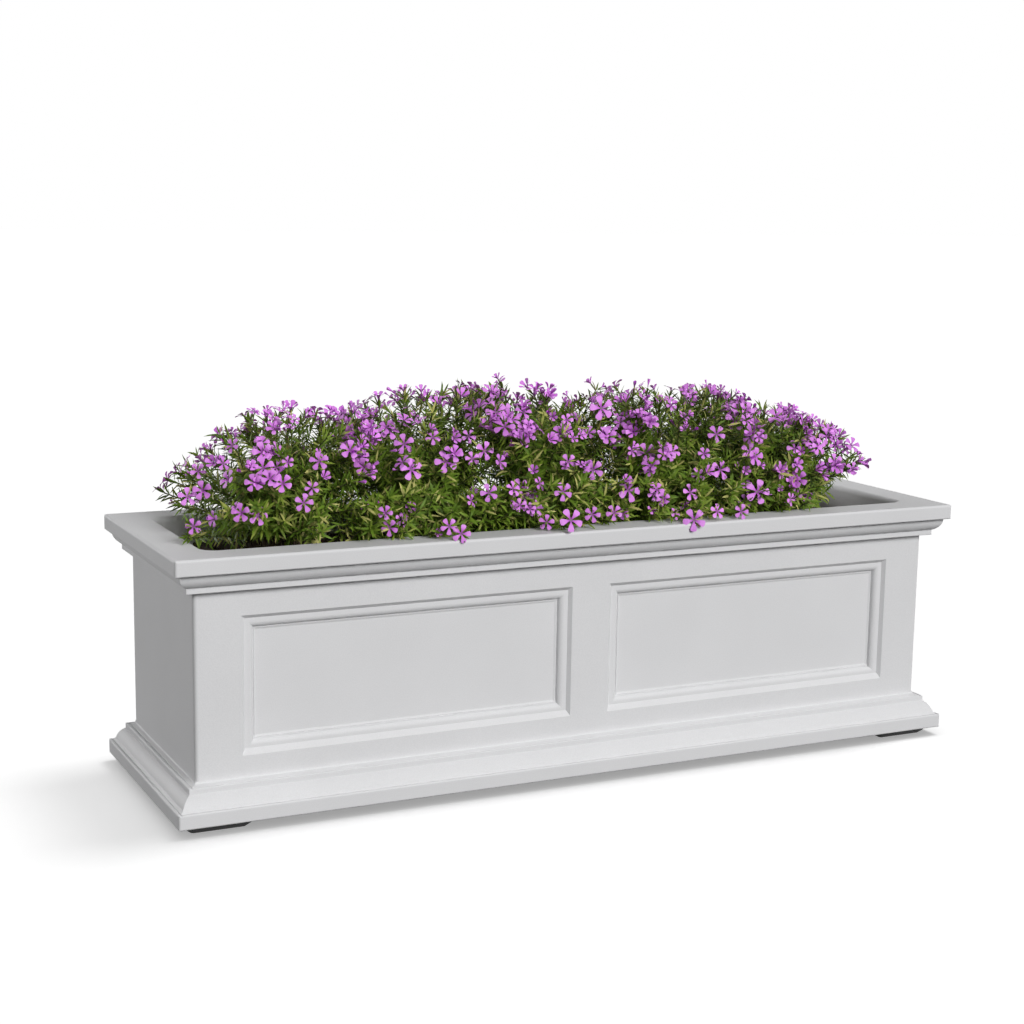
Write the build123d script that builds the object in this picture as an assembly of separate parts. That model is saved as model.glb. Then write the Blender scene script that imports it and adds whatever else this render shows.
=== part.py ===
from build123d import *
import os
from math import acos, atan2, cos, degrees, pi, radians, sin, sqrt, tan

# A planted window box: a one-piece double-walled body with classical mouldings and two recessed
# front panels, on four foot pads, with potting soil and a row of flowering plants in it.
# Millimetres. +X runs along the box, -Y is the panelled front, +Z is up.
# The origin is on the ground below the middle of the box.

# Overall size of the box itself
length = 914.4
depth = 279.4
height = 274.3

# Walls
skin = 4.0
skin_gap_at_floor = 12.0

# Rim, ovolo, band and plinth: setbacks are measured in from the rim's outer face
rim_height = 16.4
plinth_height = 15.7
ovolo_start_setback = 6.4
band_setback = 15.2
wall_setback = 23.8
base_ovolo_height = 12.0
base_ovolo_bulge = 1.4
crown_ovolo_height = 13.0
crown_ovolo_bulge = 2.4
band_height = 5.9
ledge_slope = 21.0
crown_ledge_drop = 1.4
crown_shelf_drop = 1.0
quirk_width = 1.4
quirk_depth = 1.2
nosing_width = 2.8

# Roundings of the mouldings
rim_top_radius = 2.8
plinth_top_radius = 2.0
outer_edge_radius = 1.5
band_edge_radius = 0.9
base_band_radius = 1.6
inner_corner_radius = 0.6
wall_cove_radius = 2.0
rim_corner_radius = 2.6
wall_corner_radius = 4.0

# Planting basin
rim_width = 42.0
basin_corner_radius = 14.0
basin_draft = 2.0
basin_lip_radius = 6.0
basin_floor_radius = 8.0

# Front panels
mid_stile = 44.8
end_stile = 47.8
panel_below_rim = 63.4
panel_above_base = 60.3
panel_bevel = 3.7
panel_land = 4.4
panel_ovolo_width = 5.4
panel_ovolo_depth = 4.5
panel_ovolo_bulge = 1.2
panel_fillet_width = 2.2
panel_fillet_depth = 0.9
panel_quirk_width = 1.2
panel_sill_bevel = 6.2
panel_sill_land = 2.4

# Foot pads and their screws
foot_height = 9.5
foot_size = 68.0
foot_setback = 10.8
foot_corner_radius = 9.0
foot_bevel_width = 6.0
foot_bevel_height = 4.4
screw_radius = 2.4
screw_head_radius = 5.2
screw_head_height = 3.0
screw_head_recess = 2.0
screw_slot_width = 1.2
screw_length = 20.0
screw_clearance = 0.05
boss_radius = 9.0
boss_height = 16.0
pilot_end_gap = 1.0

# Overflow holes in the back wall and their pull-out plugs
overflow_radius = 9.0
overflow_x = 300.0
overflow_above_floor = 38.0
plug_clearance = 0.05
plug_length = 16.0
plug_tip_taper = 1.2
plug_head_radius = 14.0
plug_head_thickness = 3.0
plug_head_rounding = 1.0
plug_tab_width = 14.0
plug_tab_height = 4.0
plug_tab_reach = 8.0
plug_tab_radius = 1.5

# Soil and plants
soil_below_rim = 30.0
soft_clearance = 0.3
crown_heights = (114.0, 140.0, 137.0, 131.0, 103.0)
root_ball_radius = 46.0
root_ball_base_radius = 36.0
root_ball_height = 90.0
stem_base_radius = 40.0
foliage_radius = 114.0
foliage_skirt_above_rim = 24.0

# Blossoms
blossom_count = 22
blossom_spread = 70.0
petal_count = 5
petal_length = 13.0
petal_width = 8.6
petal_thickness = 1.2
petal_lift = 16.0
stalk_radius = 1.1
stalk_length = 7.0
golden_angle = pi * (3 - sqrt(5))

base_z = foot_height
rim_z = height
slope = tan(radians(ledge_slope))
base_shelf_rise = (wall_setback - band_setback - nosing_width - quirk_width) * slope
wall_y = depth / 2 - wall_setback
wall_x = length / 2 - wall_setback
basin_floor_z = base_z + skin + skin_gap_at_floor + skin
basin_depth = rim_z - basin_floor_z
soil_z = rim_z - soil_below_rim
overflow_z = basin_floor_z + overflow_above_floor
match = 0.01
plant_count = len(crown_heights)
plant_pitch = length / (plant_count + 1)
panel_field = panel_bevel + panel_ovolo_depth + panel_fillet_depth


def bulged_arc(start, end, bulge, side):
    """An arc from start to end that stands off its chord by bulge, to the left (1) or right (-1)."""
    chord = Vector(*end) - Vector(*start)
    normal = Vector(-chord.Y, chord.X).normalized() * side
    middle = (Vector(*start) + Vector(*end)) / 2 + normal * bulge
    return ThreePointArc(start, middle, end)


def rounded(face, corners):
    """The face with its corners rounded: each corner is (distance from the middle, height, radius)."""
    for across, up, radius in corners:
        picked = [v for v in face.vertices() if abs(abs(v.X) - across) < match and abs(v.Y - up) < match]
        face = fillet(picked, radius)
    return face


def nosed_ledge(face, top, inner, rise):
    """The top of a moulding, from its face inwards: its nosing, a quirk, and a ledge up to the next face."""
    groove = face - nosing_width - quirk_width / 2
    return [
        (face - nosing_width, top),
        (groove, top - quirk_depth),
        (groove - quirk_width / 2, top),
        (inner, top + rise),
    ]


def moulded_section(half):
    """The box's outline across its width or along its length, half as wide as given."""
    wall, band, ovolo = half - wall_setback, half - band_setback, half - ovolo_start_setback
    plinth_top = base_z + plinth_height
    base_ovolo = plinth_top + ovolo_start_setback * slope
    base_band = base_ovolo + base_ovolo_height
    base_shelf = base_band + band_height
    base_wall = base_shelf + base_shelf_rise
    rim_bottom = rim_z - rim_height
    crown_ovolo = rim_bottom - crown_ledge_drop
    crown_band = crown_ovolo - crown_ovolo_height
    crown_shelf = crown_band - band_height
    crown_wall = crown_shelf - crown_shelf_drop
    plinth_ledge = nosed_ledge(half, plinth_top, ovolo, base_ovolo - plinth_top)
    band_ledge = nosed_ledge(band, base_shelf, wall, base_shelf_rise)
    right = [
        Polyline((half, base_z), (half, plinth_top), *plinth_ledge),
        bulged_arc((ovolo, base_ovolo), (band, base_band), base_ovolo_bulge, -1),
        Polyline((band, base_band), (band, base_shelf), *band_ledge, (wall, crown_wall), (band, crown_shelf)),
        Line((band, crown_shelf), (band, crown_band)),
        bulged_arc((band, crown_band), (ovolo, crown_ovolo), crown_ovolo_bulge, -1),
        Polyline((ovolo, crown_ovolo), (half, rim_bottom), (half, rim_z)),
    ]
    left = [mirror(edge, Plane.YZ) for edge in right]
    closing = [Line((-half, base_z), (half, base_z)), Line((-half, rim_z), (half, rim_z))]
    outline = make_face([e for part in right + left + closing for e in part.edges()])
    return rounded(
        outline,
        [
            (half, base_z, outer_edge_radius),
            (half, plinth_top, plinth_top_radius),
            (ovolo, base_ovolo, inner_corner_radius),
            (band, base_shelf, base_band_radius),
            (wall, base_wall, wall_cove_radius),
            (wall, crown_wall, inner_corner_radius),
            (band, crown_shelf, band_edge_radius),
            (half, rim_bottom, outer_edge_radius),
            (half, rim_z, rim_top_radius),
        ],
    )


def crossed(across, along):
    """The solid whose section is one outline across the box and another along it, mitred at corners."""
    return extrude(Plane.YZ * across, length, both=True) & extrude(Plane.XZ * along, depth, both=True)


def round_upright_corners(solid):
    """The box's upright corners, rounded to suit the rim and plinth, and the wall between them."""
    solid &= extrude(RectangleRounded(length, depth, rim_corner_radius), height)
    base = plinth_height + ovolo_start_setback * slope + base_ovolo_height + band_height + base_shelf_rise
    crown = rim_height + crown_ledge_drop + crown_ovolo_height + band_height + crown_shelf_drop
    low = base_z + base + wall_cove_radius
    high = rim_z - crown - inner_corner_radius
    wall = RectangleRounded(2 * wall_x, 2 * wall_y, wall_corner_radius)
    return solid - Pos(0, 0, low) * extrude(Rectangle(length, depth) - wall, high - low)


def basin(grow):
    """The planting basin's space, or with grow above 0 that space and the skin around it."""
    mouth = RectangleRounded(
        length - 2 * rim_width + 2 * grow,
        depth - 2 * rim_width + 2 * grow,
        basin_corner_radius + grow,
    )
    space = extrude(Pos(0, 0, rim_z) * mouth, -(basin_depth + grow), taper=basin_draft)
    floor = space.faces().sort_by(Axis.Z)[0]
    return fillet(floor.edges(), basin_floor_radius + grow)


def recess_edge(bevel, land):
    """Half of a recess cut across, from outside its edge to its field, with depth going up."""
    shoulder = bevel + land
    foot = shoulder + panel_ovolo_width
    fillet = panel_field - panel_fillet_depth
    return [
        Polyline((-panel_bevel, -panel_bevel), (0, 0), (bevel, panel_bevel), (shoulder, panel_bevel)),
        bulged_arc((shoulder, panel_bevel), (foot, fillet), panel_ovolo_bulge, -1),
        Polyline(
            (foot, fillet),
            (foot + panel_quirk_width / 2, fillet + panel_quirk_width),
            (foot + panel_quirk_width, fillet),
            (foot + panel_quirk_width + panel_fillet_width, panel_field),
        ),
    ]


def recess_section(low, high, low_bevel, low_land):
    """A panel recess cut across: steps in from each edge, with depth from the wall face going up."""
    near = [Pos(low, 0) * edge for edge in recess_edge(low_bevel, low_land)]
    far = [Pos(high, 0) * mirror(edge, Plane.YZ) for edge in recess_edge(panel_bevel, panel_land)]
    moulding = panel_ovolo_width + panel_quirk_width + panel_fillet_width
    high_moulding = panel_bevel + panel_land + moulding
    closing = [
        Line((low + low_bevel + low_land + moulding, panel_field), (high - high_moulding, panel_field)),
        Line((low - panel_bevel, -panel_bevel), (high + panel_bevel, -panel_bevel)),
    ]
    return make_face([e for piece in near + far + closing for e in piece.edges()])


def panel_spans():
    """The two panels' left and right edges, and their shared bottom and top edges."""
    inner, outer = mid_stile / 2, wall_x - end_stile
    low, high = base_z + panel_above_base, rim_z - panel_below_rim
    return [(-outer, -inner), (inner, outer)], low, high


def panel_recess(left, right, low, high):
    """One panel's recess in the front wall."""
    wall_face = Plane(origin=(0, -wall_y, 0), x_dir=(1, 0, 0), z_dir=(0, 0, 1))
    side_cut = wall_face * recess_section(left, right, panel_bevel, panel_land)
    upright_face = Plane(origin=(0, -wall_y, 0), x_dir=(0, 0, 1), z_dir=(-1, 0, 0))
    level_cut = upright_face * recess_section(low, high, panel_sill_bevel, panel_sill_land)
    upright = extrude(side_cut, height)
    across = extrude(level_cut, length, both=True)
    return upright & across


def overflow_axis(x):
    """A frame at an overflow's outer mouth, pointing out of the back wall."""
    return Plane(origin=(x, wall_y, overflow_z), x_dir=(1, 0, 0), z_dir=(0, 1, 0))


def out_of(plane, radius, inner, outer):
    """A round bar along the plane's normal, from inner to outer."""
    bar = Cylinder(radius, outer - inner, align=(Align.CENTER, Align.CENTER, Align.MIN))
    return plane * Pos(0, 0, inner) * bar


def foot_centres():
    """Each foot's name and its centre on the ground."""
    x = length / 2 - foot_setback - foot_size / 2
    y = depth / 2 - foot_setback - foot_size / 2
    return [
        (f"foot_{row}_{side}", side_sign * x, row_sign * y)
        for row, row_sign in (("front", -1), ("back", 1))
        for side, side_sign in (("left", -1), ("right", 1))
    ]


def pilot(radius, gap):
    """The screw's space above its countersunk head, from its head's seat up, on the Z axis."""
    seat = screw_head_recess + screw_head_height
    shank = screw_length - screw_head_height
    bar = Cylinder(radius, shank + gap, align=(Align.CENTER, Align.CENTER, Align.MIN))
    return Pos(0, 0, seat) * bar


def planter_body():
    """The double-walled body: outer mouldings, rim, panels, basin, screw bosses and overflow tubes."""
    across, along = moulded_section(depth / 2), moulded_section(length / 2)
    outside = round_upright_corners(crossed(across, along))
    hollow = crossed(offset(across, -skin), offset(along, -skin)) - basin(skin)
    spans, low, high = panel_spans()
    panel_depth = panel_field + skin
    for left, right in spans:
        outside -= panel_recess(left, right, low, high)
        backing = Box(right - left + 2 * skin, panel_depth, high - low + 2 * skin)
        hollow -= Pos((left + right) / 2, -wall_y + panel_depth / 2, (low + high) / 2) * backing
    for _, x, y in foot_centres():
        boss = Cylinder(boss_radius, boss_height, align=(Align.CENTER, Align.CENTER, Align.MIN))
        hollow -= Pos(x, y, base_z) * boss
    for x in (-overflow_x, overflow_x):
        hollow -= out_of(overflow_axis(x), overflow_radius + skin, -rim_width, 0)
    body = outside - hollow - basin(0)
    for _, x, y in foot_centres():
        body -= Pos(x, y, 0) * pilot(screw_radius + screw_clearance, pilot_end_gap)
    for x in (-overflow_x, overflow_x):
        body -= out_of(overflow_axis(x), overflow_radius, -rim_width, skin)
    mouth = [e for e in body.faces().sort_by(Axis.Z)[-1].inner_wires()[0].edges()]
    return fillet(mouth, basin_lip_radius)


def foot_pad():
    """A foot pad with a bevelled ground edge and a countersunk screw hole, centred on the Z axis."""
    pad = extrude(RectangleRounded(foot_size, foot_size, foot_corner_radius), foot_height)
    pad = chamfer(pad.faces().sort_by(Axis.Z)[0].edges(), foot_bevel_height, foot_bevel_width)
    top = screw_head_recess + screw_head_height
    pad -= Cylinder(screw_head_radius + screw_clearance, 2 * screw_head_recess)
    sink = Cone(
        screw_head_radius + screw_clearance,
        screw_radius + screw_clearance,
        screw_head_height,
        align=(Align.CENTER, Align.CENTER, Align.MIN),
    )
    pad -= Pos(0, 0, screw_head_recess) * sink
    bar = Cylinder(screw_radius + screw_clearance, foot_height, align=(Align.CENTER, Align.CENTER, Align.MIN))
    return pad - Pos(0, 0, top) * bar


def screw():
    """A countersunk screw on the Z axis, head down, with a cross recess in its head."""
    head = Cone(
        screw_head_radius,
        screw_radius,
        screw_head_height,
        align=(Align.CENTER, Align.CENTER, Align.MIN),
    )
    slot = Box(screw_head_radius, screw_slot_width, screw_head_height)
    return Pos(0, 0, screw_head_recess) * (head - slot - Rot(0, 0, 90) * slot) + pilot(screw_radius, 0)


def overflow_plug():
    """A push-in plug on the Z axis: shank below 0, sealing head and pull tab above."""
    shank_radius = overflow_radius - plug_clearance
    shank = Cylinder(shank_radius, plug_length, align=(Align.CENTER, Align.CENTER, Align.MAX))
    shank = chamfer(shank.edges().sort_by(Axis.Z)[0], plug_tip_taper)
    head = Cylinder(plug_head_radius, plug_head_thickness, align=(Align.CENTER, Align.CENTER, Align.MIN))
    head = fillet(head.edges().sort_by(Axis.Z)[-1], plug_head_rounding)
    tab = Box(plug_tab_width, plug_tab_height, plug_tab_reach, align=(Align.CENTER, Align.CENTER, Align.MIN))
    tab = fillet(tab.edges().filter_by(Axis.Y).sort_by(Axis.Z)[-2:], plug_tab_radius)
    return shank + head + Pos(0, 0, plug_head_thickness) * tab


def plant_centres():
    """The plants' places along the box, from left to right."""
    return [(i - (plant_count - 1) / 2) * plant_pitch for i in range(plant_count)]


def root_ball(gap):
    """A tapered root ball whose top is level with the soil, grown by gap for its pocket."""
    cone = Cone(
        root_ball_base_radius + gap,
        root_ball_radius + gap,
        root_ball_height,
        align=(Align.CENTER, Align.CENTER, Align.MAX),
    )
    return Pos(0, 0, soil_z) * cone


def potting_soil():
    """The soil that fills the basin, with a pocket for each root ball."""
    above = Pos(0, 0, soil_z) * Box(length, depth, height, align=(Align.CENTER, Align.CENTER, Align.MIN))
    soil = basin(-soft_clearance) - above
    lift = Box(length, depth, basin_floor_z + soft_clearance, align=(Align.CENTER, Align.CENTER, Align.MIN))
    soil = Pos(0, 0, -soft_clearance) * (soil - lift)
    for x in plant_centres():
        soil -= Pos(x, 0, 0) * root_ball(soft_clearance)
    return soil


def dome(index):
    """One plant's spherical crown: its radius and its centre's height above the skirt."""
    rise = crown_heights[index] - foliage_skirt_above_rim
    radius = (foliage_radius**2 + rise**2) / (2 * rise)
    return radius, rise - radius


def foliage(index):
    """One plant's leafy mound, narrow at its stems, and cut off flat where it meets a neighbour."""
    skirt_z = rim_z + foliage_skirt_above_rim
    radius, centre = dome(index)
    skirt_angle = degrees(atan2(-centre, foliage_radius))
    crown = (0, skirt_z + centre + radius)
    outline = [
        Polyline(crown, (0, soil_z), (stem_base_radius, soil_z), (foliage_radius, skirt_z)),
        CenterArc((0, skirt_z + centre), radius, skirt_angle, 90 - skirt_angle),
    ]
    face = make_face([e for piece in outline for e in piece.edges()])
    mound = revolve(Plane.XZ * face, Axis.Z)
    width = plant_pitch - 2 * soft_clearance
    left = -width / 2 if index > 0 else -length
    right = width / 2 if index < plant_count - 1 else length
    lane = Pos((left + right) / 2, 0, height) * Box(right - left, 2 * depth, 2 * height)
    return mound & lane


def blossom():
    """An open flower on a short stalk that stands up from the origin along Z."""
    flower = Cylinder(stalk_radius, stalk_length, align=(Align.CENTER, Align.CENTER, Align.MIN))
    outer = Pos(petal_length - petal_width / 2, 0) * Circle(petal_width / 2)
    outline = make_hull(Circle(stalk_radius).edges() + outer.edges())
    petal = extrude(outline, petal_thickness / 2, both=True)
    lifted = Pos(0, 0, stalk_length) * Rot(0, -petal_lift, 0) * petal
    for turn in range(petal_count):
        flower += Rot(0, 0, 360 / petal_count * turn) * lifted
    return flower


def blossom_places(index, x):
    """Frames on the dome of the plant at x, in an even spiral, clear of the neighbouring plants."""
    radius, centre = dome(index)
    middle = Vector(x, 0, rim_z + foliage_skirt_above_rim + centre)
    places = []
    for step in range(blossom_count):
        share = (step + 0.5) / blossom_count
        tilt = acos(1 - share * (1 - cos(radians(blossom_spread))))
        turn = golden_angle * step
        out = Vector(sin(tilt) * cos(turn), sin(tilt) * sin(turn), cos(tilt))
        towards_neighbour = (index > 0 and out.X < 0) or (index < plant_count - 1 and out.X > 0)
        reach = abs(out.X) * (radius + stalk_length) + petal_length + soft_clearance
        if towards_neighbour and reach > plant_pitch / 2:
            continue
        places.append(Plane(origin=middle + out * (radius + soft_clearance), z_dir=out))
    return places


def write(name, shape):
    """One piece, written under its name."""
    shape.label = name
    export_step(shape, f"parts/{name}.step")


os.makedirs("parts", exist_ok=True)
write("planter_body", planter_body())
pad = foot_pad()
fastener = screw()
for name, x, y in foot_centres():
    write(name, Pos(x, y, 0) * pad)
write("foot_screws", Compound(children=[Pos(x, y, 0) * fastener for _, x, y in foot_centres()]))
plug = overflow_plug()
for side, x in (("left", -overflow_x), ("right", overflow_x)):
    write(f"overflow_plug_{side}", overflow_axis(x) * plug)
write("potting_soil", potting_soil())
flower = blossom()
for index, x in enumerate(plant_centres()):
    write(f"root_ball_{index + 1}", Pos(x, 0, 0) * root_ball(0))
    write(f"foliage_{index + 1}", Pos(x, 0, 0) * foliage(index))
    flowers = [place * flower for place in blossom_places(index, x)]
    write(f"blossoms_{index + 1}", Compound(children=flowers))
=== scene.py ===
"""Looks of the planted window box: white moulded body, feet, soil, leafy shoots and violet flowers."""

import math
import random

import bmesh
import bpy
from mathutils import Matrix, Vector
from mathutils import noise as lumps


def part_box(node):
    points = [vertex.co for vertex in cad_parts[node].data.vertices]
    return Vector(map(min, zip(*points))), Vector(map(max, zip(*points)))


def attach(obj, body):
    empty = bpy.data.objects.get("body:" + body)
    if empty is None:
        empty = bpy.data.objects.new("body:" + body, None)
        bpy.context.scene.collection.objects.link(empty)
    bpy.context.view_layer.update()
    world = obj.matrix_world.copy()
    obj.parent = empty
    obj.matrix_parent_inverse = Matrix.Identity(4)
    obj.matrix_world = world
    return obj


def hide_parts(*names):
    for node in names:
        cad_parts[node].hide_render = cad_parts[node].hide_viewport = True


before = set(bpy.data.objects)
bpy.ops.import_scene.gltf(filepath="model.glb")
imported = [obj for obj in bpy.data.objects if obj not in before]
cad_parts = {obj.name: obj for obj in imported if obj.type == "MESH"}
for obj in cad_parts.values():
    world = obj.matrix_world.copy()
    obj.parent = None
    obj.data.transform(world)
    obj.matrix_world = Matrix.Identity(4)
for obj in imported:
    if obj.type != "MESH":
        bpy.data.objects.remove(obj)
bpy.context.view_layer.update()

BOX = "box"
PLANTS = 5

# The crown's height above the rim along the box, over its middle line, in millimetres.
CROWN_LINE = [
    (-440, 20), (-425, 35), (-391, 69), (-365, 93), (-333, 118), (-300, 119), (-257, 120), (-229, 112),
    (-205, 118), (-178, 130), (-138, 146), (-91, 138), (-32, 142), (5, 136), (35, 120), (56, 117),
    (83, 137), (132, 130), (185, 136), (240, 118), (288, 104), (338, 96), (383, 64), (407, 30), (440, 12),
]
CROWN_HALF_DEPTH = 120
CROWN_FULLNESS = 2.4
CROWN_ENDS = (-406, 362)

# Shoots of one plant, how far they reach from its middle, and how deep from front to back.
SHOOTS = 130
FRINGE_SHOOTS = 60
REACH = 95
LEFT_END_REACH = 132
RIGHT_END_REACH = 125
CROWN_REACH = 112
LOWEST_CROWN = 10
ROOT_SPREAD = 36
STEM_DEPTH = 2

# The share of shoots that reach the top, and how high both sorts reach in the crown.
TOP_SHARE = 0.68
TOP_HEIGHTS = (0.77, 0.97)
INNER_HEIGHTS = (0.2, 0.84)

# The share of a stem that is bare, in the leafy middle and at the ends.
BARE_MIDDLE = (0.2, 0.34)
BARE_ENDS = (0.42, 0.52)
BARE_LOW = 0.3

# Flowers: how many shoots carry them, how wide they are, and how the kinds are shared out.
CLUSTER_SHARE = 0.8
FRONT_SHARE = 0.3
BACK_SHARE = 0.12
FRONT_LIMIT = -55
FRINGE_SHARE = 0.2
SMALL_WIDTHS = (13, 19)
CLUSTER_WIDTHS = (13, 25)
STALK = 5
KINDS = (0, 1, 2, 3)
KIND_SHARES = (0.16, 0.40, 0.14, 0.30)

# Leaves hang low along the rim between the first two places, and stems are bare outside the others.
FRINGE_ENDS = (-262, 300)
LEAFY_ENDS = (-300, 330)

# Open flowers that face the front: x, y and z in millimetres, and the width of the open flower.
FRONT_FLOWERS = [
    (-39, -139, 287, 26), (-10, -132, 290, 18), (17, -130, 290, 18),
    (110, -139, 278, 26), (143, -132, 284, 18), (174, -132, 282, 18),
    (-176, -138, 289, 18), (-163, -139, 281, 20), (40, -118, 311, 28), (203, -118, 300, 29),
    (-298, -95, 355, 20), (-334, -70, 347, 17), (-363, -100, 305, 20), (-420, -75, 294, 17),
    (-320, -112, 317, 20), (-310, -108, 331, 15), (-201, -80, 366, 22), (-161, -95, 348, 25),
    (-111, -80, 355, 21), (-125, -122, 318, 20), (-120, -60, 368, 16), (-127, -85, 348, 16),
    (7, -100, 332, 23), (45, -60, 362, 20), (-39, -120, 314, 21), (215, -50, 371, 25),
    (275, -45, 372, 23), (284, -70, 338, 21), (169, -95, 323, 24), (213, -85, 340, 21),
    (286, -96, 288, 18), (267, -100, 292, 17), (117, -118, 304, 20), (71, -118, 305, 16),
    (-23, -100, 342, 18), (175, -75, 360, 21), (77, -90, 346, 22), (37, -60, 392, 28),
    (-84, -50, 391, 25), (-70, -40, 390, 21), (-165, -70, 370, 17), (-399, -20, 340, 17),
    (-413, -30, 316, 20),
]


def mm(value):
    """Millimetres as metres."""
    return value / 1000


def in_mm(value):
    """Metres as millimetres."""
    return value * 1000


def link(obj):
    """Puts a new object into the scene."""
    bpy.context.scene.collection.objects.link(obj)
    return obj


def feed(tree, socket, value):
    """Links another socket to this one, or sets this one to a plain value."""
    if isinstance(value, bpy.types.NodeSocket):
        tree.links.new(value, socket)
    else:
        socket.default_value = value


def add(tree, kind, inputs=None, **settings):
    """A node of a tree, with its settings, and its inputs set or linked."""
    node = tree.nodes.new(kind)
    for name, value in settings.items():
        setattr(node, name, value)
    for name, value in (inputs or {}).items():
        feed(tree, node.inputs[name], value)
    return node


# Materials


def finish(name):
    """A new material: its tree, its shader and its Object coordinates."""
    material = bpy.data.materials.new(name)
    material.use_nodes = True
    tree = material.node_tree
    shader = tree.nodes["Principled BSDF"]
    place = add(tree, "ShaderNodeTexCoord").outputs["Object"]
    return material, tree, shader, place


def noise(tree, place, size, detail=2.0, roughness=0.5):
    """Noise whose blobs are about size metres across."""
    inputs = {"Vector": place, "Scale": 1 / size, "Detail": detail, "Roughness": roughness}
    return add(tree, "ShaderNodeTexNoise", inputs).outputs["Fac"]


def ramp(tree, value, stops):
    """A colour ramp over value: stops are (position, colour)."""
    node = add(tree, "ShaderNodeValToRGB", {"Fac": value})
    elements = node.color_ramp.elements
    while len(elements) < len(stops):
        elements.new(0.5)
    for element, (position, colour) in zip(elements, stops):
        element.position = position
        element.color = (*colour, 1)
    return node.outputs["Color"]


def scaled(tree, value, low, high):
    """Value's 0 to 1 spread over low to high."""
    node = add(tree, "ShaderNodeMapRange", {"Value": value, "To Min": low, "To Max": high})
    return node.outputs["Result"]


def bump(tree, shader, height, distance, strength=1.0):
    """Relief of that depth in metres on the shader's normal."""
    inputs = {"Height": height, "Distance": distance, "Strength": strength}
    tree.links.new(add(tree, "ShaderNodeBump", inputs).outputs["Normal"], shader.inputs["Normal"])


def mixed(tree, blend, share, a, b):
    """Two colours combined by a blend type."""
    node = add(tree, "ShaderNodeMix", data_type="RGBA", blend_type=blend)
    feed(tree, node.inputs[0], share)
    for socket, colour in ((node.inputs[6], a), (node.inputs[7], b)):
        feed(tree, socket, (*colour, 1) if isinstance(colour, tuple) else colour)
    return node.outputs[2]


def streaked(tree, place, colour, size, low):
    """A colour with faint streaks, as dark as low."""
    stops = [(0.3, (low,) * 3), (0.7, (1.0, 1.0, 1.0))]
    streaks = ramp(tree, noise(tree, place, size, detail=3.0), stops)
    return mixed(tree, "MULTIPLY", 1.0, colour, streaks)


def white_plastic():
    """Satin white moulded plastic with the fine even grain of its mould and faint cloudiness."""
    material, tree, shader, place = finish("white_plastic")
    grain = noise(tree, place, size=0.0011, detail=3.0, roughness=0.6)
    cloud = noise(tree, place, size=0.09, detail=2.0)
    fine = ramp(tree, grain, [(0.3, (0.735, 0.735, 0.745)), (0.7, (0.785, 0.785, 0.795))])
    broad = ramp(tree, cloud, [(0.3, (0.97, 0.97, 0.97)), (0.7, (1.0, 1.0, 1.0))])
    tree.links.new(mixed(tree, "MULTIPLY", 1.0, fine, broad), shader.inputs["Base Color"])
    tree.links.new(scaled(tree, grain, low=0.42, high=0.58), shader.inputs["Roughness"])
    shader.inputs["Specular IOR Level"].default_value = 0.15
    bump(tree, shader, grain, distance=0.00022, strength=0.5)
    return material


def dull_rubber(name, low, high):
    """Dull rubber with a pebbled skin, between two greys."""
    material, tree, shader, place = finish(name)
    pebbles = noise(tree, place, size=0.0016, detail=3.0)
    greys = [(0.3, (low,) * 3), (0.7, (high,) * 3)]
    tree.links.new(ramp(tree, pebbles, greys), shader.inputs["Base Color"])
    tree.links.new(scaled(tree, pebbles, low=0.62, high=0.82), shader.inputs["Roughness"])
    bump(tree, shader, pebbles, distance=0.0002)
    return material


def bright_steel():
    """Plated screw steel with fine turning marks."""
    material, tree, shader, place = finish("steel")
    marks = noise(tree, place, size=0.0004, detail=2.0)
    greys = [(0.3, (0.42, 0.42, 0.44)), (0.7, (0.6, 0.6, 0.62))]
    tree.links.new(ramp(tree, marks, greys), shader.inputs["Base Color"])
    tree.links.new(scaled(tree, marks, low=0.28, high=0.45), shader.inputs["Roughness"])
    shader.inputs["Metallic"].default_value = 1.0
    bump(tree, shader, marks, distance=0.00005)
    return material


def damp_soil():
    """Dark brown potting soil, flecked with bark and grit."""
    material, tree, shader, place = finish("potting_soil")
    clods = noise(tree, place, size=0.007, detail=6.0, roughness=0.65)
    flecks = add(tree, "ShaderNodeTexVoronoi", {"Vector": place, "Scale": 420.0}).outputs["Color"]
    browns = [(0.3, (0.012, 0.008, 0.005)), (0.52, (0.05, 0.034, 0.02)), (0.75, (0.13, 0.09, 0.055))]
    brown = ramp(tree, clods, browns)
    tree.links.new(mixed(tree, "OVERLAY", 0.35, brown, flecks), shader.inputs["Base Color"])
    shader.inputs["Roughness"].default_value = 0.95
    bump(tree, shader, clods, distance=0.002)
    return material


def root_fibre():
    """Pale matted roots through dark soil."""
    material, tree, shader, place = finish("root_fibre")
    mat = noise(tree, place, size=0.004, detail=5.0, roughness=0.7)
    stops = [(0.35, (0.03, 0.02, 0.012)), (0.55, (0.16, 0.11, 0.07)), (0.72, (0.45, 0.36, 0.24))]
    tree.links.new(ramp(tree, mat, stops), shader.inputs["Base Color"])
    shader.inputs["Roughness"].default_value = 0.9
    bump(tree, shader, mat, distance=0.001)
    return material


def attribute(tree, name):
    """A float attribute that Geometry Nodes left on the mesh."""
    return add(tree, "ShaderNodeAttribute", attribute_name=name).outputs["Fac"]


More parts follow.
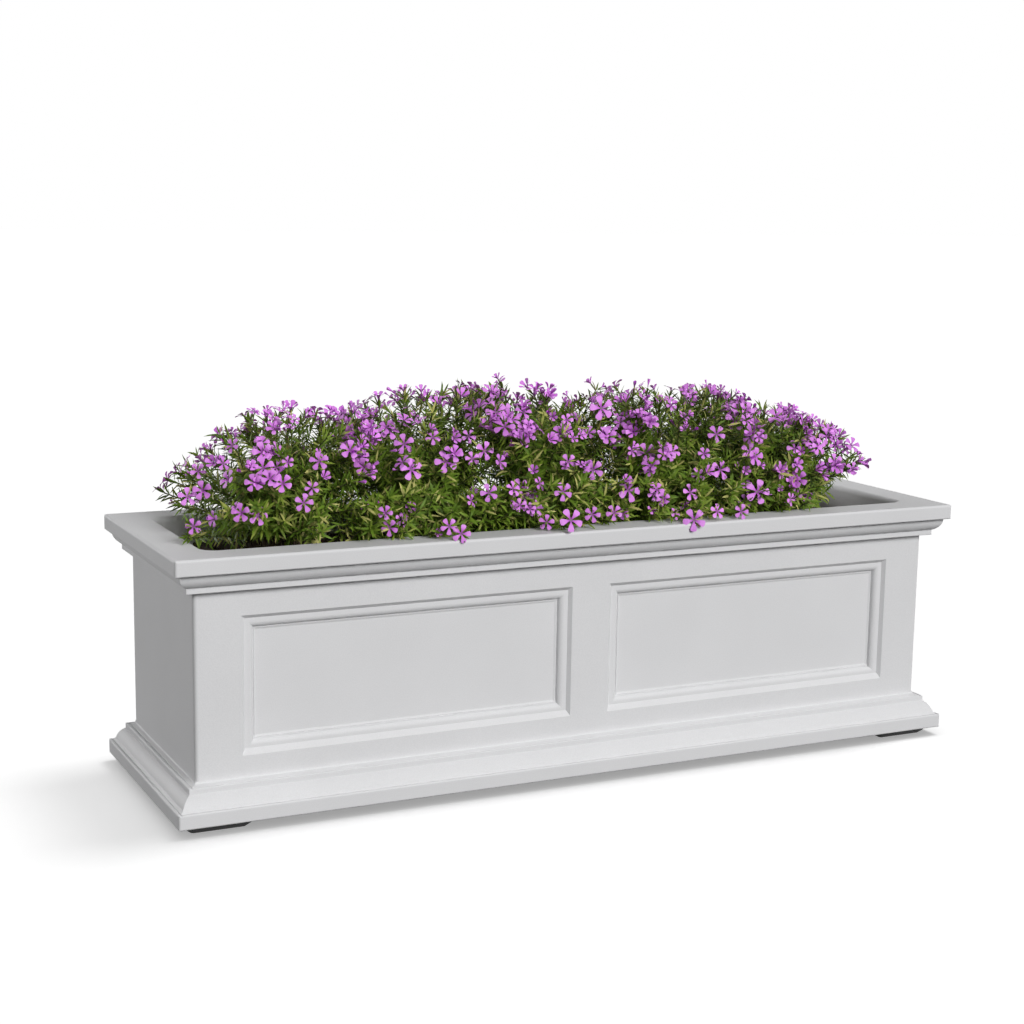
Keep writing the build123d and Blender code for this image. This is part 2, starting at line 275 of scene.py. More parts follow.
def leaf_green():
    """Narrow leaves, dark green to yellow green from one to the next, with faint streaks."""
    material, tree, shader, place = finish("leaves")
    kind = ramp(
        tree,
        attribute(tree, "tone"),
        [
            (0.0, (0.095, 0.170, 0.013)),
            (0.45, (0.155, 0.262, 0.022)),
            (0.80, (0.25, 0.34, 0.042)),
            (0.92, (0.62, 0.60, 0.20)),
        ],
    )
    tree.links.new(streaked(tree, place, kind, size=0.004, low=0.75), shader.inputs["Base Color"])
    shader.inputs["Roughness"].default_value = 0.55
    shader.inputs["Specular IOR Level"].default_value = 0.25
    bump(tree, shader, noise(tree, place, size=0.0012, detail=2.0), distance=0.0001)
    return material


def stem_brown():
    """Thin stems, brown and woody low down and green above."""
    material, tree, shader, place = finish("stems")
    kind = ramp(tree, attribute(tree, "along"), [(0.1, (0.11, 0.07, 0.04)), (0.6, (0.10, 0.12, 0.03))])
    tree.links.new(streaked(tree, place, kind, size=0.003, low=0.7), shader.inputs["Base Color"])
    shader.inputs["Roughness"].default_value = 0.6
    bump(tree, shader, noise(tree, place, size=0.001, detail=2.0), distance=0.0001)
    return material


def petal_violet():
    """Orchid violet petals, darker along their veins and at the eye, on green calyx tubes."""
    material, tree, shader, place = finish("petals")
    along = ramp(
        tree,
        attribute(tree, "reach"),
        [
            (0.0, (0.10, 0.13, 0.035)),
            (0.30, (0.17, 0.19, 0.06)),
            (0.36, (0.22, 0.04, 0.26)),
            (0.48, (0.60, 0.15, 0.67)),
            (0.70, (0.83, 0.27, 0.92)),
            (1.0, (0.89, 0.34, 0.96)),
        ],
    )
    tint = ramp(tree, attribute(tree, "tone"), [(0.0, (0.78, 0.74, 0.80)), (1.0, (1.0, 1.0, 1.0))])
    coloured = mixed(tree, "MULTIPLY", 1.0, along, tint)
    veins = ramp(tree, attribute(tree, "across"), [(0.0, (0.62, 0.55, 0.66)), (0.25, (1.0, 1.0, 1.0))])
    tree.links.new(mixed(tree, "MULTIPLY", 0.6, coloured, veins), shader.inputs["Base Color"])
    shader.inputs["Roughness"].default_value = 0.55
    bump(tree, shader, noise(tree, place, size=0.0015, detail=3.0), distance=0.00012)
    return material


# Shapes


def mesh_object(name, points, faces, floats=None):
    """A mesh object at the origin, with float attributes on its points."""
    mesh = bpy.data.meshes.new(name)
    edges = faces if faces and len(faces[0]) == 2 else []
    mesh.from_pydata(points, edges, [] if edges else faces)
    for key, values in (floats or {}).items():
        mesh.attributes.new(key, "FLOAT", "POINT").data.foreach_set("value", values)
    mesh.update()
    return link(bpy.data.objects.new(name, mesh))


def keeled_blade(stations, keel):
    """A thin closed blade along Z that faces +Y: stations are (z, half width, y), the last one a point."""
    points, across = [], []
    for z, half, y in stations[:-1]:
        points += [(-half, y, z), (half, y, z), (0, y - keel * half, z)]
        across += [1.0, 1.0, 0.0]
    z, _, y = stations[-1]
    points.append((0, y, z))
    across.append(0.0)
    faces = [(0, 1, 2)]
    for ring in range(len(stations) - 2):
        a, b = 3 * ring, 3 * ring + 3
        faces += [(a, b, b + 1, a + 1), (a + 1, b + 1, b + 2, a + 2), (a + 2, b + 2, b, a)]
    last = 3 * (len(stations) - 2)
    tip = len(points) - 1
    faces += [(last, tip, last + 1), (last + 1, tip, last + 2), (last + 2, tip, last)]
    return points, faces, across


def leaf_shape():
    """One lance-shaped leaf, a unit long, that curls away from its stem."""
    stations = [(0.0, 0.02, 0.0), (0.32, 0.082, -0.02), (0.68, 0.07, -0.10), (1.0, 0, -0.22)]
    points, faces, _ = keeled_blade(stations, 0.5)
    return mesh_object("leaf_shape", points, faces)


def flower_shape(name, rise, fall, closed=0.0):
    """A five-petalled flower that faces +Z, a unit in radius, on its calyx tube.

    The petals climb at an angle of rise degrees and bend back by fall towards their ends, and closed
    narrows them into a bud.
    """
    petals = 5
    angle = math.radians(rise)
    outline = [(0.05, 0.05), (0.30, 0.09), (0.56, 0.20), (0.80, 0.28), (0.95, 0.22), (1.0, 0.0)]
    stations = []
    for reach, half in outline:
        out = reach * math.cos(angle)
        up = reach * math.sin(angle) + 0.10 * math.sin(reach * math.pi) - fall * reach**2
        stations.append((out, half * (1 - closed), up))
    petal_foot = 0.34
    points, faces, reach_values, across_values = [], [], [], []
    for petal in range(petals):
        turn = Matrix.Rotation(math.tau * petal / petals, 3, "Z")
        blade_points, blade_faces, across = keeled_blade(stations, 0.16)
        start = len(points)
        for index, (x, y, z) in enumerate(blade_points):
            points.append(turn @ Vector((z, x, y)))
            reach_values.append(petal_foot + (1 - petal_foot) * outline[index // 3][0])
            across_values.append(across[index])
        faces += [tuple(start + i for i in reversed(face)) for face in blade_faces]
    start = len(points)
    tube_foot = -0.62
    tube_top = 0.04
    rings = [(tube_foot, 0.045), (-0.5, 0.10), (-0.1, 0.11), (tube_top, 0.085)]
    sides = 5
    for z, radius in rings:
        for side in range(sides):
            a = math.tau * side / sides
            points.append(Vector((radius * math.cos(a), radius * math.sin(a), z)))
            reach_values.append(0.02 + 0.3 * (z - tube_foot) / (tube_top - tube_foot))
            across_values.append(1.0)
    for ring in range(len(rings) - 1):
        for side in range(sides):
            a = start + ring * sides + side
            b = start + ring * sides + (side + 1) % sides
            faces.append((a, b, b + sides, a + sides))
    faces.append(tuple(start + side for side in reversed(range(sides))))
    top = start + (len(rings) - 1) * sides
    faces.append(tuple(top + side for side in range(sides)))
    return mesh_object(name, points, faces, {"reach": reach_values, "across": across_values})


def crumb_shape():
    """A small angular crumb of soil, about a unit across."""
    draw = random.Random(5)
    shape = bmesh.new()
    bmesh.ops.create_icosphere(shape, subdivisions=1, radius=0.5)
    for vertex in shape.verts:
        vertex.co *= draw.uniform(0.7, 1.15)
        vertex.co.z *= 0.8
    mesh = bpy.data.meshes.new("crumb_shape")
    shape.to_mesh(mesh)
    shape.free()
    return link(bpy.data.objects.new("crumb_shape", mesh))


# Geometry Nodes


def new_tree(name, sizes):
    """An empty Geometry Nodes tree with named float inputs, and its Group Input."""
    tree = bpy.data.node_groups.new(name, "GeometryNodeTree")
    tree.interface.new_socket("Geometry", in_out="INPUT", socket_type="NodeSocketGeometry")
    for key, value in sizes.items():
        kind = {int: "NodeSocketInt", float: "NodeSocketFloat"}.get(type(value), "NodeSocketObject")
        socket = tree.interface.new_socket(key, in_out="INPUT", socket_type=kind)
        if kind != "NodeSocketObject":
            socket.default_value = value
    tree.interface.new_socket("Geometry", in_out="OUTPUT", socket_type="NodeSocketGeometry")
    return tree, tree.nodes.new("NodeGroupInput").outputs


def close_tree(tree, geometry, material):
    """Ends a tree in Realize Instances and Set Material."""
    real = add(tree, "GeometryNodeRealizeInstances", {"Geometry": geometry}).outputs["Geometry"]
    painted = add(tree, "GeometryNodeSetMaterial", {"Geometry": real, "Material": material})
    tree.links.new(painted.outputs["Geometry"], tree.nodes.new("NodeGroupOutput").inputs["Geometry"])


def grown(name, source, tree, values, material):
    """What the tree makes of the source, as a plain mesh object that takes the source's place."""
    modifier = source.modifiers.new("grown", "NODES")
    modifier.node_group = tree
    for item in tree.interface.items_tree:
        if item.in_out == "INPUT" and item.name in values:
            modifier[item.identifier] = values[item.name]
    evaluated = source.evaluated_get(bpy.context.evaluated_depsgraph_get())
    mesh = bpy.data.meshes.new_from_object(evaluated)
    mesh.name = name
    mesh.materials.clear()
    mesh.materials.append(material)
    bpy.data.objects.remove(source)
    return link(bpy.data.objects.new(name, mesh))


def math_node(tree, operation, a, b=0.0):
    """The result of a Math node."""
    node = add(tree, "ShaderNodeMath", operation=operation)
    feed(tree, node.inputs[0], a)
    feed(tree, node.inputs[1], b)
    return node.outputs[0]


def random_float(tree, low, high, seed):
    """A random float for each element."""
    node = add(tree, "FunctionNodeRandomValue", data_type="FLOAT")
    feed(tree, node.inputs[2], low)
    feed(tree, node.inputs[3], high)
    feed(tree, node.inputs["Seed"], seed)
    return node.outputs[1]


def named(tree, name, kind="FLOAT"):
    """A named attribute's value."""
    return add(tree, "GeometryNodeInputNamedAttribute", {"Name": name}, data_type=kind).outputs["Attribute"]


def stored(tree, geometry, name, value, domain):
    """The geometry with a float kept under a name, on its points or its instances."""
    return add(
        tree,
        "GeometryNodeStoreNamedAttribute",
        {"Geometry": geometry, "Name": name, "Value": value},
        data_type="FLOAT",
        domain=domain,
    ).outputs["Geometry"]


def shape_of(tree, item):
    """The mesh of an object input."""
    return add(tree, "GeometryNodeObjectInfo", {"Object": item}).outputs["Geometry"]


def aligned(tree, direction):
    """A rotation that turns Z along a direction."""
    inputs = {"Vector": direction}
    return add(tree, "FunctionNodeAlignRotationToVector", inputs, axis="Z").outputs["Rotation"]


def turned(tree, rotation, axis, angle):
    """A rotation turned about its own axis."""
    step = add(tree, "FunctionNodeAxisAngleToRotation", {"Axis": axis, "Angle": angle}).outputs["Rotation"]
    return add(
        tree,
        "FunctionNodeRotateRotation",
        {"Rotation": rotation, "Rotate By": step},
        rotation_space="LOCAL",
    ).outputs["Rotation"]


def leaf_tree(material):
    """Leaves in whorls along every shoot: upright near its tip and spreading lower down."""
    tree, inputs = new_tree(
        "whorled_leaves",
        {
            "Spacing": mm(6.0),
            "Leaves in a whorl": 4,
            "Shortest": mm(9),
            "Longest": mm(18),
            "Spread low": math.radians(78),
            "Spread at tip": math.radians(34),
            "Seed": 1,
            "Leaf": None,
        },
    )
    curve = add(tree, "GeometryNodeMeshToCurve", {"Mesh": inputs["Geometry"]}).outputs["Curve"]
    steps = {"Curve": curve, "Length": inputs["Spacing"]}
    stops = add(tree, "GeometryNodeCurveToPoints", steps, mode="LENGTH")
    spin = random_float(tree, 0.0, math.tau, inputs["Seed"])
    marked = stored(tree, stops.outputs["Points"], "spin", spin, "POINT")
    whorl = add(
        tree,
        "GeometryNodeDuplicateElements",
        {"Geometry": marked, "Amount": inputs["Leaves in a whorl"]},
        domain="POINT",
    )
    seed = math_node(tree, "ADD", inputs["Seed"], 7.0)
    step = math_node(tree, "DIVIDE", math.tau, inputs["Leaves in a whorl"])
    azimuth = math_node(tree, "MULTIPLY", whorl.outputs["Duplicate Index"], step)
    azimuth = math_node(tree, "ADD", azimuth, named(tree, "spin"))
    azimuth = math_node(tree, "ADD", azimuth, random_float(tree, -0.5, 0.5, seed))
    along = named(tree, "along")
    late = math_node(tree, "POWER", along, 3.0)
    spread = add(
        tree,
        "ShaderNodeMapRange",
        {"Value": late, "To Min": inputs["Spread low"], "To Max": inputs["Spread at tip"]},
    ).outputs["Result"]
    wobble = random_float(tree, -0.3, 0.3, math_node(tree, "ADD", seed, 5.0))
    spread = math_node(tree, "ADD", spread, wobble)
    base = aligned(tree, stops.outputs["Tangent"])
    rotation = turned(tree, turned(tree, base, (0, 0, 1), azimuth), (1, 0, 0), spread)
    length = random_float(tree, inputs["Shortest"], inputs["Longest"], math_node(tree, "ADD", seed, 9.0))
    grown_here = math_node(tree, "GREATER_THAN", named(tree, "leafy"), random_float(tree, 0.0, 1.0, seed))
    leaves = add(
        tree,
        "GeometryNodeInstanceOnPoints",
        {
            "Points": whorl.outputs["Geometry"],
            "Selection": grown_here,
            "Instance": shape_of(tree, inputs["Leaf"]),
            "Rotation": rotation,
            "Scale": length,
        },
    ).outputs["Instances"]
    tone = random_float(tree, 0.0, 1.0, math_node(tree, "ADD", seed, 3.0))
    close_tree(tree, stored(tree, leaves, "tone", tone, "INSTANCE"), material)
    return tree


def stem_tree(material):
    """Thin round stems along every shoot."""
    tree, inputs = new_tree("stems", {"Radius": mm(0.75), "Sides": 4})
    curve = add(tree, "GeometryNodeMeshToCurve", {"Mesh": inputs["Geometry"]}).outputs["Curve"]
    ring = add(
        tree,
        "GeometryNodeCurvePrimitiveCircle",
        {"Resolution": inputs["Sides"], "Radius": inputs["Radius"]},
    ).outputs["Curve"]
    tubes = add(tree, "GeometryNodeCurveToMesh", {"Curve": curve, "Profile Curve": ring, "Fill Caps": True})
    close_tree(tree, tubes.outputs["Mesh"], material)
    return tree


def flower_tree(material, kinds):
    """Flowers on points: each point carries its aim, size, spin and kind."""
    tree, inputs = new_tree("flowers", {"Seed": 3, **{kind: None for kind in kinds}})
    points = add(tree, "GeometryNodeMeshToPoints", {"Mesh": inputs["Geometry"]}).outputs["Points"]
    aimed = aligned(tree, named(tree, "aim", "FLOAT_VECTOR"))
    rotation = turned(tree, aimed, (0, 0, 1), named(tree, "spin"))
    join = tree.nodes.new("GeometryNodeJoinGeometry")
    for index, kind in enumerate(kinds):
        chosen = add(tree, "FunctionNodeCompare", data_type="FLOAT", operation="EQUAL")
        tree.links.new(named(tree, "kind"), chosen.inputs[0])
        chosen.inputs[1].default_value = float(index)
        flowers = add(
            tree,
            "GeometryNodeInstanceOnPoints",
            {
                "Points": points,
                "Selection": chosen.outputs["Result"],
                "Instance": shape_of(tree, inputs[kind]),
                "Rotation": rotation,
                "Scale": named(tree, "size"),
            },
        ).outputs["Instances"]
        tree.links.new(flowers, join.inputs["Geometry"])
    tone = random_float(tree, 0.0, 1.0, inputs["Seed"])
    close_tree(tree, stored(tree, join.outputs["Geometry"], "tone", tone, "INSTANCE"), material)
    return tree


def crumb_tree(material):
    """Crumbs of soil strewn over a surface."""
    tree, inputs = new_tree(
        "soil_crumbs",
        {
            "Crumbs per square metre": 32000.0,
            "Smallest": mm(1.6),
            "Largest": mm(5.5),
            "Seed": 4,
            "Crumb": None,
        },
    )
    strewn = add(
        tree,
        "GeometryNodeDistributePointsOnFaces",
        {"Mesh": inputs["Geometry"], "Density": inputs["Crumbs per square metre"], "Seed": inputs["Seed"]},
    )
    turn = add(tree, "FunctionNodeRandomValue", data_type="FLOAT_VECTOR")
    turn.inputs[1].default_value = (math.tau,) * 3
    crumbs = add(
        tree,
        "GeometryNodeInstanceOnPoints",
        {
            "Points": strewn.outputs["Points"],
            "Instance": shape_of(tree, inputs["Crumb"]),
            "Rotation": turn.outputs[0],
            "Scale": random_float(tree, inputs["Smallest"], inputs["Largest"], inputs["Seed"]),
        },
    ).outputs["Instances"]
    close_tree(tree, crumbs, material)
    return tree


# Planting


def crown_height(x, y):
    """The crown's height above the rim over a point of the box, in millimetres."""
    line = CROWN_LINE
    if x <= line[0][0] or x >= line[-1][0]:
        return 0.0
    for (x0, h0), (x1, h1) in zip(line, line[1:]):
        if x0 <= x <= x1:
            middle = h0 + (h1 - h0) * (x - x0) / (x1 - x0)
            break
    fall = 1 - min(1.0, abs(y) / CROWN_HALF_DEPTH) ** CROWN_FULLNESS
    return middle * fall**0.5


def shoot(start, tip, draw, steps=9):
    """Points of a stem that climbs from the soil and then leans out to its tip, in millimetres."""
    start = Vector(start)
    tip = Vector(tip)
    rise = tip.z - start.z
    lean = draw.uniform(0.15, 0.45)
    knee = Vector(
        (
            start.x + (tip.x - start.x) * lean,
            start.y + (tip.y - start.y) * lean,
            start.z + rise * draw.uniform(0.5, 0.75) + draw.uniform(0, 10),
        )
    )
    points = []
    for step in range(steps + 1):
        t = step / steps
        points.append(start * (1 - t) ** 2 + knee * 2 * t * (1 - t) + tip * t**2)
    return points


class Plant:
    """One plant: its stems as polylines, and its flowers as points, in millimetres."""

    def __init__(self, index, centre, soil, rim):
        self.draw = random.Random(100 + index)
        self.centre = centre
        self.soil = soil
        self.rim = rim
        self.points, self.edges, self.along, self.leafy = [], [], [], []
        self.flowers = []

    def stem(self, line, leafy_from):
        """Adds a stem, with leaves from a share of its length on."""
        start = len(self.points)
        last = len(line) - 1
        for step, point in enumerate(line):
            share = step / last
            self.points.append(point)
            self.along.append(share)
            growth = min(1.0, 0.5 + 3 * (share - leafy_from))
            self.leafy.append(0.0 if share < leafy_from else growth)
            if step:
                self.edges.append((start + step - 1, start + step))

    def base(self):
        """A place on the soil where a stem comes up."""
        angle = self.draw.uniform(0, math.tau)
        radius = ROOT_SPREAD * math.sqrt(self.draw.random())
        foot = self.soil - STEM_DEPTH
        return (self.centre + radius * math.cos(angle), radius * math.sin(angle), foot)

    def flower(self, place, aim, width, kind):
        """Adds a flower that looks along aim."""
        spin = self.draw.uniform(0, 6)
        self.flowers.append((Vector(place), Vector(aim).normalized(), width / 2, spin, kind))

    def inside(self, reach, depth):
        """A random place of the plant's share of the crown, x and y."""
        low = max(self.centre - reach[0], CROWN_ENDS[0])
        high = min(self.centre + reach[1], CROWN_ENDS[1])
        return self.draw.uniform(low, high), self.draw.uniform(-depth, depth)

    def shoots(self, count, reach):
        """Fills the crown with leafy shoots, and puts flowers on the ones that come out on top."""
        draw = self.draw
        made = 0
        while made < count:
            x, y = self.inside(reach, CROWN_REACH)
            height = crown_height(x, y)
            if height < LOWEST_CROWN:
                continue
            made += 1
            top = draw.random() < TOP_SHARE
            share = draw.uniform(*(TOP_HEIGHTS if top else INNER_HEIGHTS))
            tip = Vector((x, y, self.rim + height * share))
            line = shoot(self.base(), tip, draw)
            middle = LEAFY_ENDS[0] < x < LEAFY_ENDS[1]
            self.stem(line, draw.uniform(*(BARE_MIDDLE if middle else BARE_ENDS)))
            out = (line[-1] - line[-3]).normalized()
            if top and draw.random() < CLUSTER_SHARE:
                self.cluster(line, out)
            elif draw.random() < (FRONT_SHARE if y < FRONT_LIMIT else BACK_SHARE):
                aim = out + Vector((draw.uniform(-0.6, 0.6), -0.6, draw.uniform(-0.2, 0.4)))
                self.flower(tip + out * STALK, aim, draw.uniform(*SMALL_WIDTHS), draw.choice(KINDS))

    def fringe(self, count, reach):
        """Short leafy shoots that lean out over the basin's edges, low down."""
        draw = self.draw
        for _ in range(count):
            x, _ = self.inside(reach, 0)
            if not FRINGE_ENDS[0] < x < FRINGE_ENDS[1]:
                continue
            side = -1 if draw.random() < 0.7 else 1
            start = (x + draw.uniform(-25, 25), side * draw.uniform(40, 78), self.soil - STEM_DEPTH)
            tip = (x, side * draw.uniform(94, 124), self.rim + draw.uniform(5, 48))
            line = shoot(start, tip, draw, steps=6)
            self.stem(line, BARE_LOW)
            if draw.random() < FRINGE_SHARE:
                aim = Vector((draw.uniform(-0.7, 0.5), side, draw.uniform(0.1, 0.9)))
                place = line[-1] + aim.normalized() * STALK
                self.flower(place, aim, draw.uniform(*SMALL_WIDTHS), draw.choice((0, 0, 1, 3)))

    def cluster(self, line, out):
        """One to three flowers or buds at the end of a shoot."""
        draw = self.draw
        tip = line[-1]
        for index in range(draw.choice((1, 1, 2, 2, 3))):
            side = Vector((draw.uniform(-1, 1), draw.uniform(-1.2, 0.8), draw.uniform(-0.4, 0.6)))
            aim = out + side * (0.7 if index == 0 else 1.1)
            place = tip + aim.normalized() * (7 if index == 0 else draw.uniform(8, 14))
            kind = draw.choices(KINDS, KIND_SHARES)[0]
            self.flower(place, aim, draw.uniform(*CLUSTER_WIDTHS), kind)
            if index:
                leafless = 2.0
                self.stem([tip, tip + aim.normalized() * STALK, place], leafless)

    def facing(self, x, y, z, width):
        """A flower of the front, on its own stem."""
        draw = self.draw
        aim = Vector((draw.uniform(-0.5, 0.1), -1, draw.uniform(0.15, 0.5)))
        place = Vector((x, y, z))
        over_rim = max(self.rim + 4, z - 14)
        hangs_low = z < self.rim + 30
        neck = Vector((x + draw.uniform(-6, 6), y + 16, over_rim if hangs_low else z - 12))
        line = shoot(self.base(), neck, draw)
        line.append(place - aim.normalized() * width * 0.3)
        self.stem(line, BARE_LOW)
        self.flower(place, aim, width, KINDS[0])


def plant_pieces(plant, index, trees, shapes, materials):
    """A plant's stems, leaves and flowers, each one piece."""
    stems_mesh = [tuple(mm(c) for c in p) for p in plant.points]
    floats = {"along": plant.along, "leafy": plant.leafy}
    source = mesh_object("shoots", stems_mesh, plant.edges, floats)
    inputs = {"Leaf": shapes["leaf"], "Seed": index}
    leaves = grown(f"leaves_{index}", source, trees["leaves"], inputs, materials["leaves"])
    source = mesh_object("shoots", stems_mesh, plant.edges, floats)
    stems = grown(f"stems_{index}", source, trees["stems"], {}, materials["stems"])
    places = [tuple(mm(c) for c in f[0]) for f in plant.flowers]
    source = mesh_object(
        "flower_places",
        places,
        [],
        {
            "size": [mm(f[2]) for f in plant.flowers],
            "spin": [f[3] for f in plant.flowers],
            "kind": [float(f[4]) for f in plant.flowers],
        },
    )
    aims = source.data.attributes.new("aim", "FLOAT_VECTOR", "POINT")
    aims.data.foreach_set("vector", [c for f in plant.flowers for c in f[1]])
    inputs = {**shapes["flowers"], "Seed": index}
    flowers = grown(f"flowers_{index}", source, trees["flowers"], inputs, materials["petals"])
    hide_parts(f"foliage_{index}")
    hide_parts(f"blossoms_{index}")
    for piece, slot in ((leaves, "leaves"), (stems, "leaves"), (flowers, "petals")):
        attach(piece, BOX)


def planting(materials):
    """All the plants."""
    rim = in_mm(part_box("planter_body")[1].z)
    soil = in_mm(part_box("potting_soil")[1].z)
    flowers = {
        "Open": flower_shape("open_flower", rise=12, fall=0.10),
        "Half open": flower_shape("half_open_flower", rise=52, fall=0.02, closed=0.2),
        "Bud": flower_shape("bud", rise=82, fall=-0.02, closed=0.6),
        "Wide": flower_shape("wide_flower", rise=30, fall=0.2),
    }
    shapes = {"leaf": leaf_shape(), "flowers": flowers}
    trees = {
        "leaves": leaf_tree(materials["leaves"]),
        "stems": stem_tree(materials["stems"]),
        "flowers": flower_tree(materials["petals"], list(flowers)),
    }
    plants = []
    for index in range(1, PLANTS + 1):
        low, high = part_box(f"root_ball_{index}")
        plants.append(Plant(index, in_mm(low.x + high.x) / 2, soil, rim))
    for index, plant in enumerate(plants):
        left = LEFT_END_REACH if index == 0 else REACH
        right = RIGHT_END_REACH if index == PLANTS - 1 else REACH
        plant.shoots(SHOOTS, (left, right))
        plant.fringe(FRINGE_SHOOTS, (left, right))
    for x, y, z, width in FRONT_FLOWERS:
        nearest = min(plants, key=lambda p: abs(p.centre - x))
        nearest.facing(x, y, z, width)
    for index, plant in enumerate(plants, 1):
        plant_pieces(plant, index, trees, shapes, materials)
    for shape in (shapes["leaf"], *flowers.values()):
        bpy.data.objects.remove(shape)


def solid_copy(name, node, voxel, material):
    """A CAD solid's copy, remeshed evenly so that its surface can be roughened."""
    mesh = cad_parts[node].data.copy()
    piece = link(bpy.data.objects.new(name, mesh))
    weld = piece.modifiers.new("weld", "WELD")
    weld.merge_threshold = 0.00001
    even = piece.modifiers.new("even", "REMESH")
    even.mode = "VOXEL"
    even.voxel_size = voxel
    evaluated = piece.evaluated_get(bpy.context.evaluated_depsgraph_get())
    result = bpy.data.meshes.new_from_object(evaluated)
    result.name = name
    result.materials.clear()
    result.materials.append(material)
    piece.modifiers.clear()
    piece.data = result
    return piece


def lumpy(piece, depth, size, top, seed):
    """Pushes a piece's skin in by up to depth metres, in lumps of that size, and its top both ways."""
    shift = Vector((seed, seed, seed))
    skin = 0.004
    side_share = 0.25
    moved = []
    for place, normal in [(v.co.copy(), v.normal.copy()) for v in piece.data.vertices]:
        value = lumps.fractal(place / size + shift, 1.0, 2.0, 4)
        if place.z > top - skin:
            place.z += depth * value
        else:
            place -= normal * depth * side_share * (1 + value)
        moved.extend(place)
    piece.data.vertices.foreach_set("co", moved)
    piece.data.polygons.foreach_set("use_smooth", [True] * len(piece.data.polygons))
    piece.data.update()


def soil_and_roots(materials):
    """The soil with its crumbs, and the root balls in it."""
    soil_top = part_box("potting_soil")[1].z
    soil = solid_copy("soil", "potting_soil", voxel=0.0045, material=materials["soil"])
    lumpy(soil, depth=0.0035, size=0.03, top=soil_top, seed=2.0)
    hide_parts("potting_soil")
    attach(soil, BOX)
    for index in range(1, PLANTS + 1):
        ball = f"root_ball_{index}"
        roots = solid_copy(f"roots_{index}", ball, voxel=0.003, material=materials["roots"])
        lumpy(roots, depth=0.0015, size=0.009, top=soil_top, seed=float(index))
        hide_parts(ball)
        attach(roots, BOX)
    low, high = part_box("potting_soil")
    inset = 0.004
    corners = [
        (low.x + inset, low.y + inset, soil_top),
        (high.x - inset, low.y + inset, soil_top),
        (high.x - inset, high.y - inset, soil_top),
        (low.x + inset, high.y - inset, soil_top),
    ]
    bed = mesh_object("bed", corners, [(0, 1, 2, 3)])
    crumb = crumb_shape()
    tree = crumb_tree(materials["soil"])
    crumbs = grown("soil_crumbs", bed, tree, {"Crumb": crumb}, materials["soil"])
    bpy.data.objects.remove(crumb)
    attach(crumbs, BOX)


# Room


def direction(side, height):
    """The direction to a place round the box: side from the front to the right, and height."""
    level = math.cos(height)
    return Vector((math.sin(side) * level, -math.cos(side) * level, math.sin(height)))


def photo_camera():
    """The camera at the photograph's place: turned round the box, above it, and slightly rolled."""
    turn = -0.4538933
    height = 0.16937098
    roll = 0.0159112
    distance = 2.003764
    target = Vector((-0.038792, 0, 0.273317))
    data = bpy.data.cameras.new("photo_camera")
    data.sensor_width = 36
    data.lens = 63.894
    camera = link(bpy.data.objects.new("photo_camera", data))
    back = direction(turn, height)
    right = Vector((math.cos(turn), math.sin(turn), 0))
    up = back.cross(right)
    across = math.cos(roll) * right + math.sin(roll) * up
    upright = -math.sin(roll) * right + math.cos(roll) * up
    axes = Matrix((across, upright, back)).transposed().to_4x4()
    camera.matrix_world = Matrix.Translation(target + back * distance) @ axes
    bpy.context.scene.camera = camera


def sun(name, energy, softness, side, height):
    """A soft light from that side (degrees from the front, to the right) and height above the horizon."""
    data = bpy.data.lights.new(name, "SUN")
    data.energy = energy
    data.angle = math.radians(softness)
    lamp = link(bpy.data.objects.new(name, data))
    towards = direction(math.radians(side), math.radians(height))
    lamp.matrix_world = towards.to_track_quat("Z", "Y").to_matrix().to_4x4()
    return lamp


def lights(floor):
    """Broad lights on the object, mostly from the front, and a high one whose shadow falls on the floor."""
    only_floor = bpy.data.collections.new("only_floor")
    only_floor.objects.link(floor)
    all_but_floor = bpy.data.collections.new("all_but_floor")
    all_but_floor.objects.link(floor)
    all_but_floor.collection_objects[0].light_linking.link_state = "EXCLUDE"
    key = sun("key", energy=2.65, softness=30, side=12, height=28)
    key.light_linking.receiver_collection = all_but_floor
    back = sun("back", energy=1.6, softness=30, side=-146, height=8)
    back.light_linking.receiver_collection = all_but_floor
    shadow = sun("shadow", energy=1.15, softness=22, side=100, height=68)
    shadow.light_linking.receiver_collection = only_floor


def seen_directly(tree):
    """1 for camera, glossy and transmission rays, 0 for the light on the object."""
    rays = tree.nodes.new("ShaderNodeLightPath").outputs
    either = math_node(tree, "MAXIMUM", rays["Is Camera Ray"], rays["Is Glossy Ray"])
    return math_node(tree, "MAXIMUM", either, rays["Is Transmission Ray"])


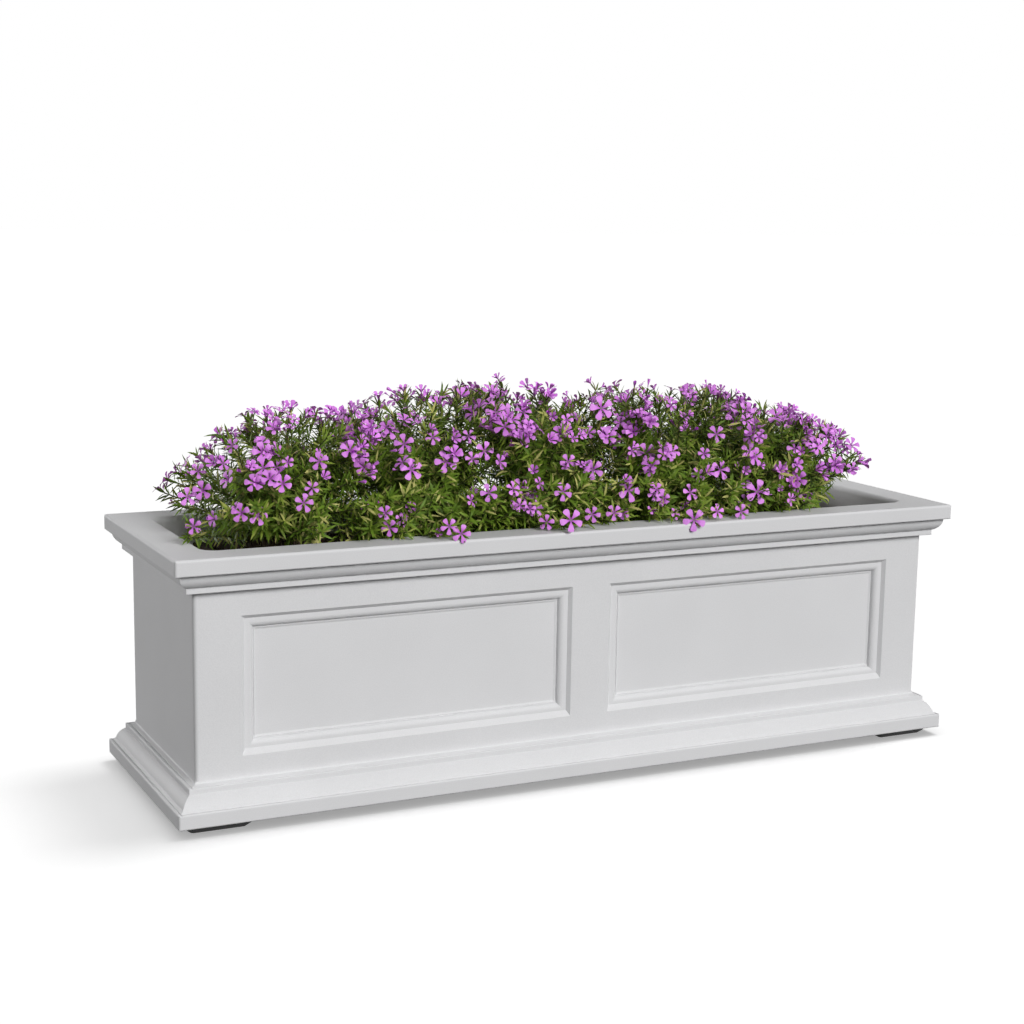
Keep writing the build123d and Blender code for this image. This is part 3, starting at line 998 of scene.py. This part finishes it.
def pale_room():
    """A white world and a white floor that keeps the object's shadow and painted contact shade; returns the
    floor.
    """
    white = (1, 1, 1, 1)
    world = bpy.data.worlds.new("pale_room")
    bpy.context.scene.world = world
    world.use_nodes = True
    tree = world.node_tree
    background = tree.nodes["Background"]
    background.inputs["Color"].default_value = white
    strength = scaled(tree, seen_directly(tree), low=0.12, high=1.0)
    tree.links.new(strength, background.inputs["Strength"])
    half = 30.0
    corners = [(-half, -half, 0), (half, -half, 0), (half, half, 0), (-half, half, 0)]
    floor = mesh_object("floor", corners, [(0, 1, 2, 3)])
    material = bpy.data.materials.new("floor")
    material.use_nodes = True
    tree = material.node_tree
    shader = tree.nodes["Principled BSDF"]
    shader.inputs["Roughness"].default_value = 1.0
    shader.inputs["Specular IOR Level"].default_value = 0.0
    shader.inputs["Emission Color"].default_value = white
    seen = seen_directly(tree)
    grey_to_the_object = (0.03, 0.03, 0.03)
    grey_to_the_camera = (0.85, 0.85, 0.85)
    base = mixed(tree, "MIX", seen, grey_to_the_object, grey_to_the_camera)
    tree.links.new(base, shader.inputs["Base Color"])
    # Painted shade: ambient occlusion dims the floor's glow round the foot of the box, a painted contact
    # shadow.
    painted_contact_shade = add(tree, "ShaderNodeAmbientOcclusion", {"Distance": 0.06}).outputs["AO"]
    glow_dimmed_by_painted_shade = scaled(tree, painted_contact_shade, low=0.32, high=0.64)
    tree.links.new(math_node(tree, "MULTIPLY", seen, glow_dimmed_by_painted_shade), shader.inputs["Emission Strength"])
    floor.data.materials.append(material)
    return floor


def dress(node, material):
    """Gives a CAD node its material."""
    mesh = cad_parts[node].data
    mesh.materials.clear()
    mesh.materials.append(material)


def main():
    """Everything, from the camera to the planting."""
    photo_camera()
    lights(pale_room())
    dress("planter_body", white_plastic())
    # The feet are dark rubber, made near black so that they also stand in for the shade under the box:
    # partly painted shade.
    feet_rubber_and_shade = dull_rubber("pad_rubber", low=0.035, high=0.06)
    for side in ("front_left", "front_right", "back_left", "back_right"):
        dress(f"foot_{side}", feet_rubber_and_shade)
    dress("foot_screws", bright_steel())
    plug = dull_rubber("plug_rubber", low=0.55, high=0.62)
    for side in ("left", "right"):
        dress(f"overflow_plug_{side}", plug)
    materials = {
        "soil": damp_soil(),
        "roots": root_fibre(),
        "leaves": leaf_green(),
        "stems": stem_brown(),
        "petals": petal_violet(),
    }
    soil_and_roots(materials)
    planting(materials)
    bpy.context.scene.view_settings.view_transform = "Standard"


main()
